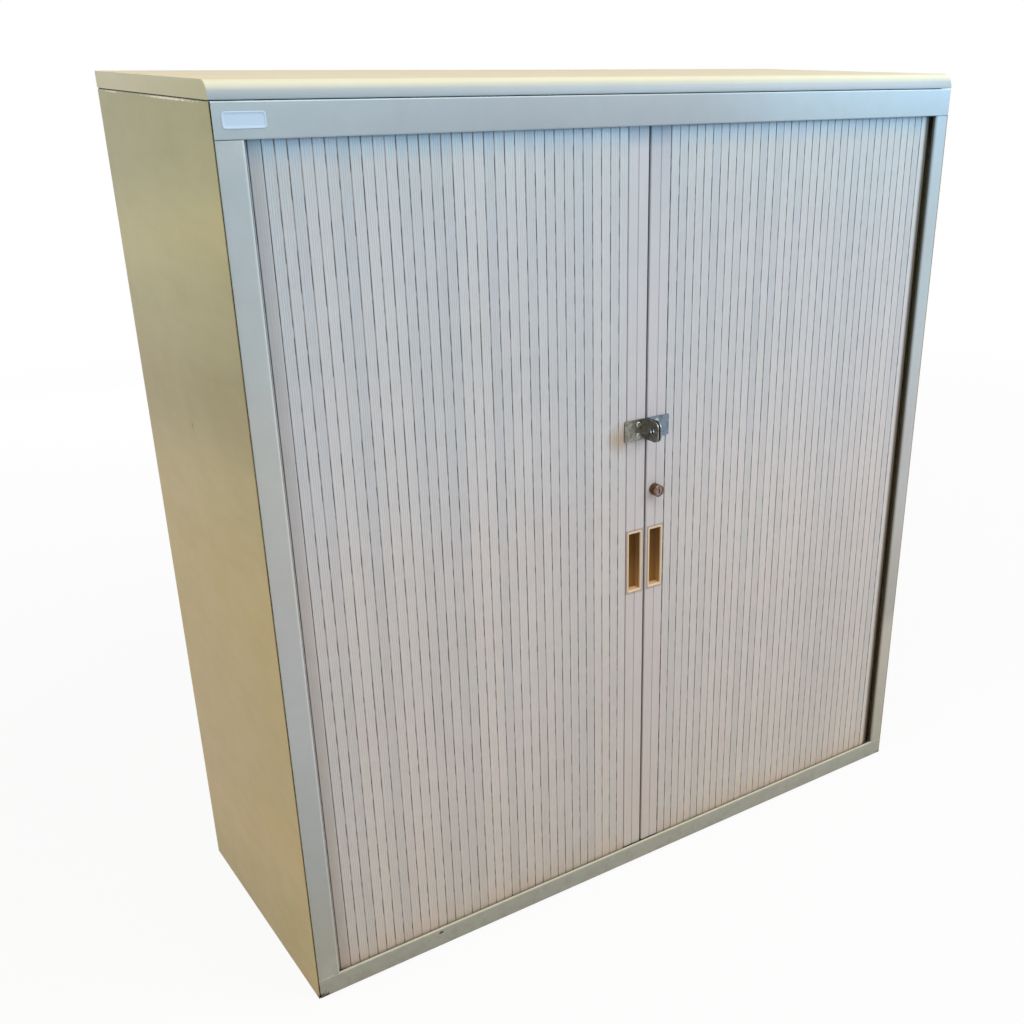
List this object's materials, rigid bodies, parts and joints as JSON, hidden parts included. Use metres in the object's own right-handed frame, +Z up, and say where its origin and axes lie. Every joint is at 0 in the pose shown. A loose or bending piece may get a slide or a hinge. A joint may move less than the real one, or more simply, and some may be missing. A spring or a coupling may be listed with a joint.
{
  "type": "roll front tool cabinet",
  "caption": "Steel cupboard closed by vertical-slat shutters that slide apart and round the sides; cup handles, padlock tabs and a cam lock at the meeting line, shelves inside.",
  "frame": {"origin": "centre of the bounding box's foot, at floor level", "axes": "+Z up, front face towards -Y, +X to the right as seen from the front"},
  "size_m": [1.2, 0.4766, 1.27],
  "materials": {
    "front_paint": "satin, warm grey-beige",
    "side_paint": "satin, khaki beige",
    "cap_paint": "satin, grey-beige",
    "inner_paint": "satin, light grey",
    "slat_plastic": "fine ribbed, pinkish grey",
    "post_paint": "satin, pinkish grey",
    "track_plastic": "smooth, dark grey",
    "cup_plastic": "tan",
    "zinc": "bright zinc plate",
    "lock_metal": "worn bright plate",
    "foot_plastic": "black"
  },
  "bodies": {
    "carcass": {"left_side_panel": "side_paint", "right_side_panel": "side_paint", "back_panel": "side_paint", "top_cap": "cap_paint", "header_rail": "front_paint", "bottom_rail": "front_paint", "left_stile": "front_paint", "right_stile": "front_paint", "ceiling_panel": "inner_paint", "base_panel": "inner_paint", "floor_panel": "inner_paint", "back_lining": "inner_paint", "left_lining": "inner_paint", "right_lining": "inner_paint", "shelf_uprights": "zinc", "shelf_clips": "zinc", "shelf_low": "inner_paint", "shelf_middle": "inner_paint", "shelf_high": "inner_paint", "foot_nuts": "zinc", "left_lower_track": "track_plastic", "right_lower_track": "track_plastic", "left_upper_track": "track_plastic", "right_upper_track": "track_plastic", "left_corner_slats": "slat_plastic", "right_corner_slats": "slat_plastic"},
    "left_door": {"left_lead_post": "post_paint", "left_handle_cup": "cup_plastic", "left_padlock_bracket": "zinc", "left_bracket_screws": "zinc", "lock_keep": "zinc"},
    "right_door": {"right_lead_post": "post_paint", "right_handle_cup": "cup_plastic", "right_padlock_bracket": "zinc", "right_bracket_screws": "zinc", "lock_barrel": "lock_metal", "lock_nut": "zinc"},
    "lock": {"lock_plug": "lock_metal", "lock_cam": "zinc"},
    "left_slats_1": {"left_slats_1": "slat_plastic"},
    "left_slats_2": {"left_slats_2": "slat_plastic"},
    "left_slats_3": {"left_slats_3": "slat_plastic"},
    "left_slats_4": {"left_slats_4": "slat_plastic"},
    "left_slats_5": {"left_slats_5": "slat_plastic"},
    "left_slats_6": {"left_slats_6": "slat_plastic"},
    "left_slats_7": {"left_slats_7": "slat_plastic"},
    "left_slats_8": {"left_slats_8": "slat_plastic"},
    "right_slats_1": {"right_slats_1": "slat_plastic"},
    "right_slats_2": {"right_slats_2": "slat_plastic"},
    "right_slats_3": {"right_slats_3": "slat_plastic"},
    "right_slats_4": {"right_slats_4": "slat_plastic"},
    "right_slats_5": {"right_slats_5": "slat_plastic"},
    "right_slats_6": {"right_slats_6": "slat_plastic"},
    "right_slats_7": {"right_slats_7": "slat_plastic"},
    "right_slats_8": {"right_slats_8": "slat_plastic"},
    "foot_front_left": {"foot_front_left": "foot_plastic"},
    "foot_front_right": {"foot_front_right": "foot_plastic"},
    "foot_rear_left": {"foot_rear_left": "foot_plastic"},
    "foot_rear_right": {"foot_rear_right": "foot_plastic"}
  },
  "joints": [
    {"name": "left_door_slide", "type": "slide", "parent": "carcass", "child": "left_door", "axis": [-1, 0, 0], "range_m": [0, 0.507]},
    {"name": "left_slats_1_slide", "type": "slide", "parent": "carcass", "child": "left_slats_1", "axis": [-1, 0, 0], "range_m": [0, 0.52725], "deforming": ["left_slats_1"]},
    {"name": "left_slats_2_slide", "type": "slide", "parent": "carcass", "child": "left_slats_2", "axis": [-1, 0, 0], "range_m": [0, 0.45225], "deforming": ["left_slats_2"]},
    {"name": "left_slats_3_slide", "type": "slide", "parent": "carcass", "child": "left_slats_3", "axis": [-1, 0, 0], "range_m": [0, 0.37725], "deforming": ["left_slats_3"]},
    {"name": "left_slats_4_slide", "type": "slide", "parent": "carcass", "child": "left_slats_4", "axis": [-1, 0, 0], "range_m": [0, 0.30225], "deforming": ["left_slats_4"]},
    {"name": "left_slats_5_slide", "type": "slide", "parent": "carcass", "child": "left_slats_5", "axis": [-1, 0, 0], "range_m": [0, 0.22725], "deforming": ["left_slats_5"]},
    {"name": "left_slats_6_slide", "type": "slide", "parent": "carcass", "child": "left_slats_6", "axis": [-1, 0, 0], "range_m": [0, 0.15225], "deforming": ["left_slats_6"]},
    {"name": "left_slats_7_slide", "type": "slide", "parent": "carcass", "child": "left_slats_7", "axis": [-1, 0, 0], "range_m": [0, 0.07725], "deforming": ["left_slats_7"]},
    {"name": "left_slats_8_slide", "type": "slide", "parent": "carcass", "child": "left_slats_8", "axis": [-1, 0, 0], "range_m": [0, 0.04725], "deforming": ["left_slats_8"]},
    {"name": "right_door_slide", "type": "slide", "parent": "carcass", "child": "right_door", "axis": [1, 0, 0], "range_m": [0, 0.507]},
    {"name": "right_slats_1_slide", "type": "slide", "parent": "carcass", "child": "right_slats_1", "axis": [1, 0, 0], "range_m": [0, 0.52725], "deforming": ["right_slats_1"]},
    {"name": "right_slats_2_slide", "type": "slide", "parent": "carcass", "child": "right_slats_2", "axis": [1, 0, 0], "range_m": [0, 0.45225], "deforming": ["right_slats_2"]},
    {"name": "right_slats_3_slide", "type": "slide", "parent": "carcass", "child": "right_slats_3", "axis": [1, 0, 0], "range_m": [0, 0.37725], "deforming": ["right_slats_3"]},
    {"name": "right_slats_4_slide", "type": "slide", "parent": "carcass", "child": "right_slats_4", "axis": [1, 0, 0], "range_m": [0, 0.30225], "deforming": ["right_slats_4"]},
    {"name": "right_slats_5_slide", "type": "slide", "parent": "carcass", "child": "right_slats_5", "axis": [1, 0, 0], "range_m": [0, 0.22725], "deforming": ["right_slats_5"]},
    {"name": "right_slats_6_slide", "type": "slide", "parent": "carcass", "child": "right_slats_6", "axis": [1, 0, 0], "range_m": [0, 0.15225], "deforming": ["right_slats_6"]},
    {"name": "right_slats_7_slide", "type": "slide", "parent": "carcass", "child": "right_slats_7", "axis": [1, 0, 0], "range_m": [0, 0.07725], "deforming": ["right_slats_7"]},
    {"name": "right_slats_8_slide", "type": "slide", "parent": "carcass", "child": "right_slats_8", "axis": [1, 0, 0], "range_m": [0, 0.04725], "deforming": ["right_slats_8"]},
    {"name": "lock_turn", "type": "hinge", "parent": "right_door", "child": "lock", "pos_m": [0.0165, -0.20525, 0.683], "axis": [0, 1, 0], "range_deg": [0, 90]},
    {"name": "foot_front_left_turn", "type": "hinge", "parent": "carcass", "child": "foot_front_left", "pos_m": [-0.54, -0.16675, 0], "axis": [0, 0, 1], "continuous": true},
    {"name": "foot_front_right_turn", "type": "hinge", "parent": "carcass", "child": "foot_front_right", "pos_m": [0.54, -0.16675, 0], "axis": [0, 0, 1], "continuous": true},
    {"name": "foot_rear_left_turn", "type": "hinge", "parent": "carcass", "child": "foot_rear_left", "pos_m": [-0.54, 0.17825, 0], "axis": [0, 0, 1], "continuous": true},
    {"name": "foot_rear_right_turn", "type": "hinge", "parent": "carcass", "child": "foot_rear_right", "pos_m": [0.54, 0.17825, 0], "axis": [0, 0, 1], "continuous": true}
  ],
  "couplings": [
    {"joint": "left_slats_1_slide", "follows": "left_door_slide", "ratio": 1.0399},
    {"joint": "left_slats_2_slide", "follows": "left_door_slide", "ratio": 0.892},
    {"joint": "left_slats_3_slide", "follows": "left_door_slide", "ratio": 0.744},
    {"joint": "left_slats_4_slide", "follows": "left_door_slide", "ratio": 0.5961},
    {"joint": "left_slats_5_slide", "follows": "left_door_slide", "ratio": 0.4482},
    {"joint": "left_slats_6_slide", "follows": "left_door_slide", "ratio": 0.3002},
    {"joint": "left_slats_7_slide", "follows": "left_door_slide", "ratio": 0.1523},
    {"joint": "left_slats_8_slide", "follows": "left_door_slide", "ratio": 0.0931},
    {"joint": "right_slats_1_slide", "follows": "right_door_slide", "ratio": 1.0399},
    {"joint": "right_slats_2_slide", "follows": "right_door_slide", "ratio": 0.892},
    {"joint": "right_slats_3_slide", "follows": "right_door_slide", "ratio": 0.744},
    {"joint": "right_slats_4_slide", "follows": "right_door_slide", "ratio": 0.5961},
    {"joint": "right_slats_5_slide", "follows": "right_door_slide", "ratio": 0.4482},
    {"joint": "right_slats_6_slide", "follows": "right_door_slide", "ratio": 0.3002},
    {"joint": "right_slats_7_slide", "follows": "right_door_slide", "ratio": 0.1523},
    {"joint": "right_slats_8_slide", "follows": "right_door_slide", "ratio": 0.0931}
  ]
}
